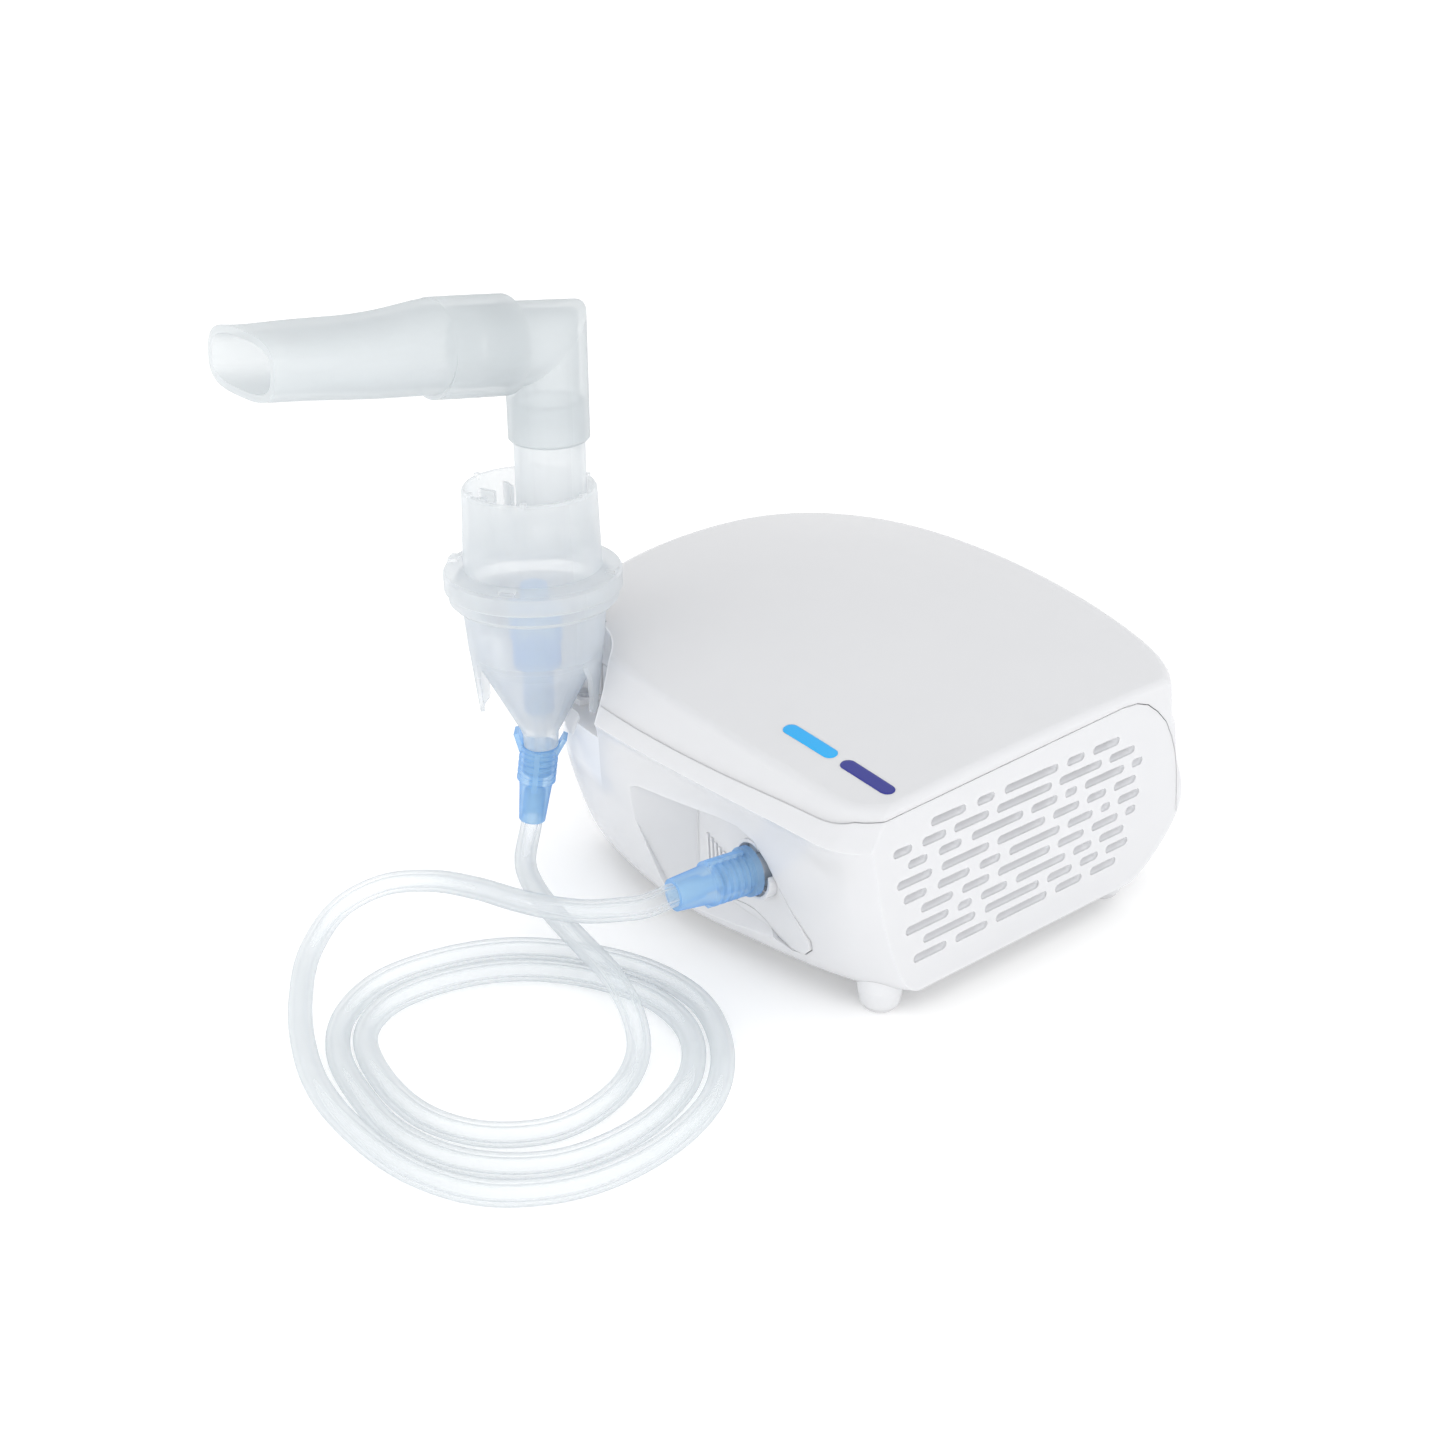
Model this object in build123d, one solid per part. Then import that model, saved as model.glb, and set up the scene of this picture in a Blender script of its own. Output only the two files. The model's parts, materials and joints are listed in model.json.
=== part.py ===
from build123d import *
import math
import os

# Tabletop compressor nebulizer: a compressor with pump and motor inside, the nebulizer cup
# with its mouthpiece docked at the front left corner, and an air tube coiled in front.
# Millimetres, +Z up. Origin: centre of the compressor's underside.
# Heights in this file are counted from the table; every part is written Z_BASE lower.
# +X points to the ventilation grille end, -Y to the front face with the air outlet.

# ---------------------------------------------------------------- driving dimensions
GRILLE_X = 80.0            # plane of the ventilation grille end
WALL = 2.4                 # housing wall
GRILLE_T = 4.0             # thickness of the grille wall
Z_BASE = 8.0               # underside of the housing
Z_BELT = 61.0              # widest level of the body
Z_UPPER = 100.0            # level of the upper plan outline
Z_LOFT_TOP = 104.0         # the upper loft runs on to here before the dome trims it
EDGE_ROUND = 3.6           # how far the lower edge draws in at the underside
PART_GAP = 0.3             # reveal between hood and lower housing
RUN = 0.05                 # running clearance, radial
UP = (0, 0, 1)

FEET = [(69.5, -50.5), (69.5, 50.0), (-62.0, -43.0), (-62.0, 43.0)]
FOOT_R = 6.9
Z_FOOT = 12.2              # the feet plug into round sockets this high
POSTS = [(58, 40), (-46, 50), (58, -40), (-42, -42)]   # screw posts, (x, y)

CUP_X, CUP_Y = -57.0, -80.0    # nebulizer cup axis
Z_CUP = 47.0                   # lowest point of the cup's inlet cone
CUP_BASE = (CUP_X, CUP_Y, Z_CUP)
RING_H = 50.0                  # underside of the cup flange, above Z_CUP
CAP_H = 86.5                   # top of the cap, above Z_CUP
DECK_H = 69.4                  # underside of the cap's inner deck, above Z_CUP
CHIM_Y = CUP_Y + 8.0           # chimney axis, behind the cup axis
CHIM_R = 10.8
Z_CHIM_TOP = Z_CUP + 111.0
Z_ELBOW_RIM = Z_CUP + 99.3
ARM_TILT = math.radians(6.5)   # the elbow's side arm rises by this angle
ARM_R = 12.3
SPIGOT_R = 11.6                # end of the side arm inside the mouthpiece
ARM_DIR = Vector(0, -math.cos(ARM_TILT), math.sin(ARM_TILT))
CORNER = Vector(CUP_X, CHIM_Y, Z_CUP + 128.5)          # corner of the elbow
MOUTH_START, MOUTH_END = 15.0, 97.0    # along the arm from the elbow corner

TUBE_R = 3.4                                            # air tube outside radius
OUTLET = Vector(38.0, -72.6, 40.0)                      # air outlet on the front panel
OUTLET_DIR = Vector(-0.128, -0.9918, 0).normalized()


# ---------------------------------------------------------------- helpers
def save(name, shapes):
    """write a shape, or a list of shapes, as one STEP file"""
    shapes = shapes if isinstance(shapes, list) else [shapes]
    solids = [s for shape in shapes for s in shape.solids() if s.volume > 0.01]
    solids = [Pos(0, 0, -Z_BASE) * s for s in solids]
    export_step(solids[0] if len(solids) == 1 else Compound(solids), "parts/%s.step" % name)


def largest(shape):
    return max(shape.solids(), key=lambda s: s.volume)


def cyl(start, direction, r, length):
    plane = Plane(origin=Vector(*start), z_dir=Vector(*direction))
    return Solid.make_cylinder(r, length, plane)


def upright(x, y, z, r, height):
    return cyl((x, y, z), UP, r, height)


def tube(start, direction, r_out, r_in, length):
    return cyl(start, direction, r_out, length) - cyl(start, direction, r_in, length)


def box(x0, x1, y0, y1, z0, z1):
    return Pos((x0 + x1) / 2, (y0 + y1) / 2, (z0 + z1) / 2) * Box(x1 - x0, y1 - y0, z1 - z0)


def revolved(profile, origin, direction=UP):
    """revolve a closed (radius, height) polygon about the axis through origin"""
    face = Face(Wire.make_polygon([Vector(r, 0, h) for r, h in profile], close=True))
    solid = Solid.revolve(face, 360, Axis((0, 0, 0), UP))
    return Plane(origin=Vector(*origin), z_dir=Vector(*direction)).location * solid


def prism(points, axis, start, end):
    """polygon extruded along a world axis. X: points are (y, z); Z: points are (x, y)"""
    if axis == "X":
        corners = [Vector(start, p, q) for p, q in points]
        path = Vector(end - start, 0, 0)
    else:
        corners = [Vector(p, q, start) for p, q in points]
        path = Vector(0, 0, end - start)
    return Solid.extrude(Face(Wire.make_polygon(corners, close=True)), path)


def surface(rows, min_deg):
    return Face.make_surface_from_array_of_points(rows, tol=1e-3, min_deg=min_deg, max_deg=3)


def shift_line(points, distance):
    """open polyline moved sideways, to the left of its direction"""
    out = []
    for i, (x, y) in enumerate(points):
        before = points[max(i - 1, 0)]
        after = points[min(i + 1, len(points) - 1)]
        dx, dy = after[0] - before[0], after[1] - before[1]
        length = math.hypot(dx, dy)
        out.append((x - dy / length * distance, y + dx / length * distance))
    return out


def pipe(points, r, tangents=None):
    """round rod along a spline"""
    ends = [Vector(*t) for t in tangents] if tangents else None
    path = Edge.make_spline([Vector(*p) for p in points], tangents=ends)
    start = Plane(origin=path.position_at(0), z_dir=path.tangent_at(0))
    return Solid.sweep(Face(Wire([Edge.make_circle(r, start)])), Wire([path]))


def cup_polar(r, angle):
    """(x, y) at a radius and an angle in degrees about the cup axis"""
    a = math.radians(angle)
    return (CUP_X + r * math.cos(a), CUP_Y + r * math.sin(a))


def around_cup(angle, r, z, shape):
    return Pos(CUP_X, CUP_Y, 0) * (Rot(0, 0, angle) * (Pos(r, 0, z) * shape))


def cup_sector(a0, a1):
    """tall wedge about the cup axis between two angles in degrees"""
    arc = [cup_polar(60, a0 + (a1 - a0) * k / 24) for k in range(25)]
    return prism([(CUP_X, CUP_Y)] + arc, "Z", 0, 200)


# ---------------------------------------------------------------- body outlines
# Plan outlines (x, y): an open chain from the front corner of the grille end round by the
# front, the left end and the back to the grille end's back corner.
BELT_PLAN = [
    (82, -58), (80.5, -65.5), (74.5, -72.5), (60, -75), (30, -76), (0, -76.5),
    (-30, -75.8), (-55, -72.5), (-75, -62), (-86, -40), (-89.5, -12), (-89.5, 15),
    (-86, 40), (-75, 59), (-57, 71), (-30, 77), (0, 78.5), (30, 78),
    (55, 75.5), (72, 70.5), (79.5, 64), (82, 56)]
BASE_PLAN = [
    (82, -47), (78, -51), (70, -56), (58, -60.5), (30, -66), (3, -69.5),
    (-25, -67), (-48, -61.5), (-67, -51), (-77, -34), (-80.5, -9), (-80.5, 13),
    (-77, 35), (-67, 50.5), (-51, 60.5), (-27, 66), (0, 69.0), (27, 69.0),
    (48, 66.5), (64, 62.5), (75, 57.5), (82, 51.5)]
UPPER_PLAN = [
    (82, -42), (79.5, -47), (72.5, -52.5), (59, -55.5), (30, -57), (0, -57.5),
    (-29, -57), (-52, -54.5), (-69.5, -47), (-79.5, -31), (-83, -9), (-83, 14),
    (-79.5, 36), (-69.5, 53.5), (-53, 65), (-28.5, 71), (0, 73), (30, 72.5),
    (53, 70), (69, 65.5), (77.5, 59.5), (82, 53)]
# levels between base and belt: height, blend from base to belt outline, and the points
# that replace the last ones of the blend along the back
LEVELS = [
    (16, 0.26, [(-69.5, 53.5), (-53, 64.5), (-28.5, 70.5), (0, 73.5), (28, 73.5),
                (50.5, 72), (67.5, 69.5), (77, 65.5), (82, 60)]),
    (27, 0.53, [(-72, 57), (-55.5, 69), (-30, 75), (0, 78), (30, 78.3),
                (54, 77.5), (70.5, 75.5), (78.8, 72.3), (82, 69)]),
    (42, 0.78, [(-74, 58.8), (-57, 71), (-30, 77), (0, 79.5), (30, 79.6),
                (55, 78.2), (71.5, 74.8), (79, 71), (82, 67)])]


def inset(plan, t):
    """plan outline drawn in by t; its two ends slide along the grille end"""
    out = [(plan[0][0], plan[0][1] + t)]
    for before, (x, y), after in zip(plan, plan[1:], plan[2:]):
        dx, dy = after[0] - before[0], after[1] - before[1]
        length = math.hypot(dx, dy)
        out.append((x + dy / length * t, y - dx / length * t))
    return out + [(plan[-1][0], plan[-1][1] - t)]


def blend(a, b, t):
    return [((1 - t) * p[0] + t * q[0], (1 - t) * p[1] + t * q[1]) for p, q in zip(a, b)]


def section(plan, z):
    """closed wire: a spline through the outline and a straight grille end"""
    curve = Edge.make_spline([Vector(x, y, z) for x, y in plan])
    return Wire([curve, Edge.make_line(Vector(*plan[-1], z), Vector(*plan[0], z))])


def dome_z(x, y):
    """height of the top surface: front and back profiles joined by a bulging arc"""
    front = 76.9 - 0.056 * x - 0.00012 * x * x
    back = 90.5 - 0.06 * x - 0.0012 * (x + 10) ** 2
    t = y / 70.0
    bulge = 1.8 + 0.036 * (80 - x)
    return (front + back) / 2 + bulge + (back - front) / 2 * t - bulge * t * t


def under_dome(depth):
    """everything below the top surface lowered by depth"""
    grid = range(-100, 101, 20)
    rows = [[Vector(x, y, dome_z(x, y) - depth) for x in grid] for y in grid]
    return Solid.extrude(surface(rows, 3), Vector(0, 0, -120))


def body(t, end_x, z_bottom, rim=0):
    """outer form inset by t on every side, cut off at x = end_x, its top rim filleted"""
    belt = inset(BELT_PLAN, t)
    rise = (Z_LOFT_TOP - Z_BELT) / (Z_UPPER - Z_BELT)
    top = blend(belt, inset(UPPER_PLAN, t), rise)
    levels = []
    for z, share, back in LEVELS:
        plan = blend(BASE_PLAN, BELT_PLAN, share)
        levels.append((z, plan[:-len(back)] + back))
    # the lower edge is rounded over: the outline draws in towards the underside
    bottom = inset(BASE_PLAN, EDGE_ROUND + t)
    shoulder = inset(blend(BASE_PLAN, levels[0][1], 0.2), 1.2 + t)
    sections = [section(bottom, z_bottom), section(shoulder, Z_BASE + 1.6)]
    sections += [section(inset(plan, t), z) for z, plan in levels]
    low = Solid.make_loft(sections + [section(belt, Z_BELT)])
    up = Solid.make_loft([section(belt, Z_BELT), section(top, Z_LOFT_TOP)], ruled=True)
    up = up & under_dome(t * 1.05)
    up = up.solids()[0]
    if rim:
        up = up.fillet(rim, [e for e in up.edges() if e.center().Z > 80 and e.length > 250])
    cut = box(end_x, end_x + 60, -150, 150, -20, 150)
    return ((up - cut) + (low - cut)).solids()[0]


def end_edges(shape, z0, z1, side):
    """edges of the flat grille end centred between z0 and z1; side -1 front, 1 back, 0 both"""
    return [e for e in shape.edges()
            if abs(e.center().X - GRILLE_X) < 0.01 and e.bounding_box().size.X < 0.05
            and z0 < e.center().Z < z1 and e.length > 3 and e.center().Y * side >= 0]


def outer_body():
    """outer form with the rim of the grille end rounded"""
    shape = body(0, GRILLE_X, Z_BASE, 4.5)
    # the hood's part of the rim, then the front and the back edge below the belt
    for z0, z1, side in ((60, 120, 0), (9, 60, -1), (9, 60, 1)):
        for r in (2.4, 1.8, 1.2):
            # a radius too large for these edges fails; the next smaller one is tried
            try:
                shape = shape.fillet(r, end_edges(shape, z0, z1, side)).solids()[0]
                break
            except Exception:
                pass
    return shape


# ---------------------------------------------------------------- dock for the nebulizer
# a round bite out of the front left corner, wider over the arc where the cradle stands
DOCK_R, DOCK_WIDE_R = 23.5, 25.6
Z_DOCK = 56.0
HOLD_A0, HOLD_A1 = 86, 206     # cradle arc, degrees about the cup axis


def dock_cut(grow, margin):
    """space of the dock, grown by grow, its wide part margin degrees beyond the cradle"""
    floor = Z_DOCK - grow
    narrow = revolved([(0, 44.0 - grow), (8.0 + grow * 0.7, 44.0 - grow),
                       (12.5 + grow * 0.8, floor), (DOCK_R + grow, floor),
                       (DOCK_R + grow, 120), (0, 120)], (CUP_X, CUP_Y, 0))
    wide = (upright(CUP_X, CUP_Y, floor, DOCK_WIDE_R + grow, 70)
            & cup_sector(HOLD_A0 - margin, HOLD_A1 + margin))
    return narrow + wide


# ---------------------------------------------------------------- recess in the front face
# beak-shaped scoop, deepest along a vertical seam; outline (x, z)
RECESS_OUTLINE = [
    (-19.3, 44.8), (-12, 47.6), (12, 50.4), (24, 52.0), (33, 52.4), (40, 50.2), (45, 45),
    (49.5, 37), (54, 28.5), (57, 22.5), (56.4, 19.2), (52, 13.5), (40, 9.6), (20, 9.2),
    (0, 9.2), (-4.5, 12.0), (-8, 19.5), (-13, 30), (-18.6, 41.5)]
SEAM_X, SEAM_Y = 3.5, -65.2
# filter cover in the recess, outline (x, z)
COVER_OUTLINE = [
    (3.8, 47.5), (3.8, 21.5), (10, 19.6), (16, 19.2), (22, 20.2), (27, 21.2), (31.5, 21.4),
    (36, 19.8), (41, 16.2), (46.5, 14.2), (52.2, 15.2), (55.8, 18.6), (56.6, 22.4),
    (53.6, 28.8), (49.1, 37), (44.6, 44.8), (39.6, 49.8), (32.8, 52.0), (24, 51.6),
    (12, 50.0)]
COVER_T = 1.8


def panel_y(x, z):
    """right-hand panel of the recess: upright at the seam, coming forward to the right"""
    return SEAM_Y - 0.0062 * (z - 14.5) * (x - SEAM_X)


def in_front(depth):
    """everything in front of the right-hand panel moved inwards by depth"""
    rows = [[Vector(x, panel_y(x, z) + depth, z) for x in (-20, 5, 30, 55, 80)]
            for z in (-10, 10, 30, 50, 70)]
    return Solid.extrude(surface(rows, 2), Vector(0, -40, 0))


def outlet_prism(points, centre, grow, y_back):
    """(x, z) outline at y = -70, moved out from centre, extruded along the outlet direction"""
    y_front = -90
    slope = OUTLET_DIR.X / OUTLET_DIR.Y
    corners = []
    for x, z in points:
        dx, dz = x - centre[0], z - centre[1]
        reach = math.hypot(dx, dz)
        x, z = x + grow * dx / reach, z + grow * dz / reach
        corners.append(Vector(x + (y_back + 70) * slope, y_back, z))
    face = Face(Wire.make_polygon(corners, close=True))
    return Solid.extrude(face, Vector((y_front - y_back) * slope, y_front - y_back, 0))


def recess(grow):
    """space of the recess, grown sideways and inwards by grow"""
    outline = outlet_prism(RECESS_OUTLINE, (18.0, 31.0), grow, -40)
    left = prism([(-40, -90), (-40, -84.8 + grow), (SEAM_X, SEAM_Y + grow), (SEAM_X, -90)],
                 "Z", -10, 70)
    right = in_front(grow) & box(SEAM_X - 0.01, 90, -90, -40, -10, 70)
    drop = 1.4 * grow
    above_floor = prism([(-90, 3.0 - drop), (-71.5, 9.4 - drop), (-40, 59.0 - drop),
                         (-40, 80), (-90, 80)], "X", -60, 90)
    return (outline & (left + right)) & above_floor


def cover_prism(grow):
    return outlet_prism(COVER_OUTLINE, (30.0, 34.0), grow, -50)


# ---------------------------------------------------------------- housing shell and split
# hood / lower housing split (y, z), the same at both ends: a slight rise towards the back,
# round the back shoulder and down to a low rear skirt
SPLIT = [
    (-130, 63.8), (-74, 66.0), (-68.2, 68.9), (-20, 70.9), (37.9, 73.2), (44.5, 72.6),
    (50, 70.6), (55.2, 66.8), (60.2, 61.8), (63.6, 56.0), (66.4, 49.8), (68.3, 42.8),
    (69.6, 35.0), (70.5, 28.0), (72.0, 23.4), (75.2, 20.8), (80, 19.8), (130, 19.8)]
above_split = prism(shift_line(SPLIT, PART_GAP / 2) + [(130, 160), (-130, 160)],
                    "X", -140, 140)
below_split = prism(shift_line(SPLIT, -PART_GAP / 2) + [(130, -40), (-130, -40)],
                    "X", -140, 140)

Z_OPEN = Z_BASE - 2        # the inner forms run out through the underside
outer = outer_body()
inner = body(WALL, GRILLE_X - GRILLE_T, Z_OPEN)
dock = dock_cut(0, 2)
dock_inner = dock_cut(2.2, 8)
recess_cut = recess(0)
recess_backed = recess(2.2)
outer_docked = outer - dock
shell = outer_docked - ((inner - dock_inner) - recess_backed)


def foot_socket(x, y):
    return upright(x, y, 0, FOOT_R + 0.05, Z_FOOT + 0.05)


def top_cover():
    hood = shell & above_split
    for x, y in POSTS:
        hood = hood + (upright(x, y, 22.0, 4.0, 90) & inner)
    for x, y in POSTS:
        hood = hood - upright(x, y, 10, 1.3, 26)
    return largest(hood - recess_backed)


# ---------------------------------------------------------------- lower housing
LIP_T = 1.5
# recessed panel in the left end
PANEL_X = -84.4
PANEL_Z = 33.5             # centre height of switch and inlet
SWITCH_Y, INLET_Y = 16.0, -12.0

FELT = Vector(17.5, panel_y(17.5, 33.5), 33.5)     # filter felt, on the recess panel

# ventilation slots in the grille end: height, then (y start, y end) of each slot
SLOT_H = 2.9
SLOTS = [
    (62.6, [(-44.0, -29.8), (-25.3, -18.0), (-13.8, 9.5), (13.4, 21.3), (25.2, 37.5)]),
    (57.3, [(-58.4, -51.0), (-47.1, -37.5), (-34.4, -19.9), (-16.6, 7.2), (10.5, 30.0),
            (33.4, 45.5)]),
    (52.0, [(-52.4, -44.6), (-40.1, -30.8), (-26.7, -4.8), (-1.4, 10.3), (13.7, 19.2),
            (22.7, 41.2), (44.7, 50.0)]),
    (46.5, [(-56.3, -42.4), (-38.6, -18.9), (-15.4, 5.4), (8.9, 20.9), (24.4, 33.4),
            (37.0, 47.5)]),
    (41.0, [(-53.4, -44.2), (-39.8, -26.6), (-22.5, -13.6), (-9.8, 12.6), (16.1, 27.8),
            (31.4, 36.0), (39.6, 50.0)]),
    (35.6, [(-46.2, -33.1), (-29.4, -17.8), (-14.2, 8.8), (12.2, 24.3), (27.9, 40.4),
            (43.9, 49.0)]),
    (30.2, [(-52.0, -34.5), (-30.8, -24.8), (-21.0, -9.7), (-5.8, 16.4), (19.9, 28.6),
            (32.2, 44.0)]),
    (24.9, [(-44.6, -22.9), (-18.9, 5.0), (8.6, 20.1), (23.8, 32.3), (35.9, 46.6)]),
    (19.6, [(-48.2, -34.6), (-30.9, -17.3), (-13.6, 9.1), (12.9, 25.3), (29.2, 41.5)])]


def panel_box(x0, x1, y, half_y, half_z):
    """box on the left end panel, x counted inwards from its face"""
    return box(PANEL_X + x0, PANEL_X + x1, y - half_y, y + half_y,
               PANEL_Z - half_z, PANEL_Z + half_z)


def split_lip():
    """lip inside the wall that bridges the split, clear of the hood's inner face"""
    core = body(WALL + LIP_T, GRILLE_X - GRILLE_T - LIP_T, Z_OPEN)
    band = prism(shift_line(SPLIT, 2.6) + shift_line(SPLIT, -4.0)[::-1], "X", -140, 140)
    lip = (inner - core) & band
    lip = (lip - dock_inner) & under_dome(WALL * 1.05 + 0.3)
    lip = lip - box(-72, 74.4, -61, 61, 60, 110)
    clearance = (body(WALL - 0.01, GRILLE_X - GRILLE_T + 0.01, Z_OPEN)
                 - body(WALL + 0.2, GRILLE_X - GRILLE_T - 0.2, Z_OPEN))
    return lip - (clearance & above_split)


def vent_slots():
    cuts = []
    for z, row in SLOTS:
        for y0, y1 in row:
            plane = Plane(origin=(GRILLE_X - 6, (y0 + y1) / 2, z),
                          x_dir=(0, 1, 0), z_dir=(1, 0, 0))
            cuts.append(extrude(plane * SlotOverall(y1 - y0, SLOT_H), 10))
    return Compound([s for cut in cuts for s in cut.solids()])


def lower_housing():
    lower = shell & below_split
    lower = lower + split_lip()
    # thickened left end with the shallow flat recess, and openings for switch and inlet
    lower = lower + (box(-92, -79.6, -31, 37, 17, 50) & outer_docked)
    lower = lower - box(-120, PANEL_X, -27, 31, 21, 46)
    lower = lower - panel_box(-5.6, 14.4, SWITCH_Y, 10.4, 6.6)
    lower = lower - panel_box(-5.6, 14.4, INLET_Y, 10.6, 7.1)
    lower = lower - recess_cut
    # backing for the filter cover's seat and a boss for the felt
    lower = lower + ((cover_prism(2.0) & in_front(COVER_T + 2.0)) & inner)
    lower = lower + (cyl(FELT + OUTLET_DIR * -6.5, OUTLET_DIR, 9.6, 7.5) & inner)
    lower = lower - recess_cut
    # seat one plate thickness deeper than the recess face
    lower = lower - (cover_prism(0.15) & in_front(COVER_T))
    lower = lower - cyl(FELT - OUTLET_DIR * 4.2, OUTLET_DIR, 7.8, 12)
    lower = lower - cyl(FELT - OUTLET_DIR * 12, OUTLET_DIR, 2.2, 12)
    lower = lower - cyl(OUTLET - OUTLET_DIR * 16, OUTLET_DIR, 4.3, 30)
    lower = lower - vent_slots()
    for x, y in FEET:
        lower = lower - foot_socket(x, y)
    return largest(lower - dock)


# ---------------------------------------------------------------- base plate, feet, screws
PLATE_T = 2.4


def base_plate():
    outline = inset(BASE_PLAN, WALL + EDGE_ROUND + 0.4)
    plate = Solid.extrude(Face(section(outline, Z_BASE)), Vector(0, 0, PLATE_T))
    plate = plate - box(GRILLE_X - GRILLE_T - 0.35, 120, -150, 150, 0, 60)
    plate = plate - recess(2.6)
    for x, y in POSTS:
        plate = plate + upright(x, y, Z_BASE + PLATE_T, 4.6, 11.2)
        # screw hole and the counterbore for its head
        plate = plate - upright(x, y, 0, 1.8, 40) - upright(x, y, 0, 3.6, Z_BASE + 6)
    for x, y in FEET:
        plate = plate - foot_socket(x, y)
    for k in range(5):
        x = -20 + k * 6
        plate = plate - box(x, x + 3, 30, 46, Z_BASE - 1, Z_BASE + 4)
    return plate


def feet():
    profile = [(0, 1.6), (5.4, 1.6), (5.9, 2.1), (FOOT_R - 0.15, 6.6), (FOOT_R, 7.4),
               (FOOT_R, Z_FOOT), (0, Z_FOOT)]
    return [revolved(profile, (x, y, 0)) for x, y in FEET]


def foot_pads():
    profile = [(0, 0), (4.4, 0), (4.9, 0.5), (4.9, 1.58), (0, 1.58)]
    return [revolved(profile, (x, y, 0)) for x, y in FEET]


def housing_screws():
    profile = [(0, 11.2), (3.0, 11.2), (3.0, 13.9), (1.25, 13.9), (1.25, 33), (0, 34)]
    return [revolved(profile, (x, y, 0)) for x, y in POSTS]


# ---------------------------------------------------------------- filter cover and outlet
COLLAR_IN_R, COLLAR_OUT_R = 8.2, 9.2   # ring on the cover round the air outlet


def filter_cover():
    cover = (cover_prism(-0.1) & in_front(COVER_T - 0.1)) - in_front(0)
    collar = tube(OUTLET + OUTLET_DIR * -3.2, OUTLET_DIR, COLLAR_OUT_R, COLLAR_IN_R, 3.6)
    cover = cover + ((collar & cover_prism(-0.15)) & in_front(COVER_T - 0.15))
    cover = cover - cyl(OUTLET - OUTLET_DIR * 12, OUTLET_DIR, COLLAR_IN_R, 24)
    # five upright ribs, shorter to the right
    for i in range(5):
        x = 9.5 + i * 2.2
        rib = box(x, x + 1.0, -75, -60, 27 + 0.6 * i, 38 - 0.6 * i)
        cover = cover + (rib & (in_front(0.3) - in_front(-0.6)))
    return largest(cover)


def filter_felt():
    return cyl(FELT - OUTLET_DIR * 4.1, OUTLET_DIR, 7.6, 1.2)


def outlet_port():
    return revolved([(2.0, -14), (3.0, -14), (3.0, -9.2), (7.2, -9.2), (7.2, -7.2),
                     (4.1, -7.2), (4.1, 4.0), (4.6, 5.0), (4.1, 7.6), (3.8, 10.0),
                     (2.0, 10.0)], OUTLET, OUTLET_DIR)


def grip_rings(start, pitch, root_r, crest_r):
    """profile of five grip rings, and the height where the next would start"""
    points = []
    for i in range(5):
        h = start + i * pitch
        points += [(root_r, h), (crest_r, h + 0.5), (crest_r, h + 1.5), (root_r, h + 2.0)]
    return points, start + 5 * pitch


def outlet_connector():
    """push-on connector: flange, grip rings, smooth tapered tail and two side wings"""
    rings, end = grip_rings(4.6, 2.35, 5.9, 6.7)
    profile = [(4.65, 1.0), (7.5, 1.0), (7.5, 3.2), (6.3, 3.6), (6.3, 4.4)] + rings
    profile += [(5.7, end + 0.3), (4.8, 27.0), (3.5, 27.0), (3.5, 18.0), (2.4, 17.4),
                (2.4, 12.0), (4.65, 11.4)]
    side = Vector(0, 0, 1).cross(OUTLET_DIR)
    plane = Plane(origin=OUTLET + OUTLET_DIR * 10.0, x_dir=side, z_dir=OUTLET_DIR)
    wings = (plane * Box(1.8, 15.0, 12.0)) - cyl(OUTLET, OUTLET_DIR, 5.3, 30)
    return revolved(profile, OUTLET, OUTLET_DIR) + wings


# ---------------------------------------------------------------- air tube
# centre line of the coil on the table, (x, y, z)
COIL_PATH = [
    (4.5, -119.3, 30.2), (-13.1, -121.0, 25.0), (-33.0, -122.2, 20.5),
    (-53.7, -126.5, 15.5), (-67.5, -135.5, 11.0), (-70.3, -148.5, 7.2),
    (-58.9, -165.7, 4.3), (-38.5, -180.6, 3.6), (-16.7, -191.7, 3.7), (4.1, -198.4, 3.7),
    (26.2, -200.4, 3.7), (50.9, -197.4, 3.7), (70.2, -187.2, 3.7), (82.2, -168.0, 3.7),
    (84.1, -144.0, 3.7), (76.5, -120.2, 3.7), (60.8, -103.5, 3.7), (38.9, -93.4, 3.7),
    (16.6, -94.4, 3.7), (-4.9, -104.6, 3.7), (-20.9, -119.6, 3.7), (-29.3, -139.3, 3.7),
    (-30.1, -159.6, 3.7), (-21.2, -176.0, 3.7), (-7.2, -186.0, 3.7), (12.4, -191.2, 3.7),
    (36.5, -192.3, 3.7), (57.2, -184.4, 3.7), (71.6, -167.0, 3.7), (74.2, -142.9, 3.7),
    (65.6, -119.5, 3.7), (48.8, -105.6, 3.7), (27.5, -102.6, 3.7), (5.4, -111.0, 3.7),
    (-10.4, -125.5, 3.7), (-18.6, -144.9, 3.7), (-18.4, -163.2, 3.7), (-9.6, -175.8, 3.7),
    (9.8, -182.9, 3.7), (33.5, -183.2, 3.7), (50.2, -174.8, 3.7), (60.0, -158.9, 3.7),
    (58.0, -138.8, 3.7), (46.6, -122.0, 3.7), (34.9, -114.9, 7.0), (22.1, -112.0, 11.6),
    (5.1, -109.4, 12.6), (-15.6, -105.6, 12.6), (-34.0, -100.6, 12.6),
    (-44.0, -97.6, 12.4)]


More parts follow.
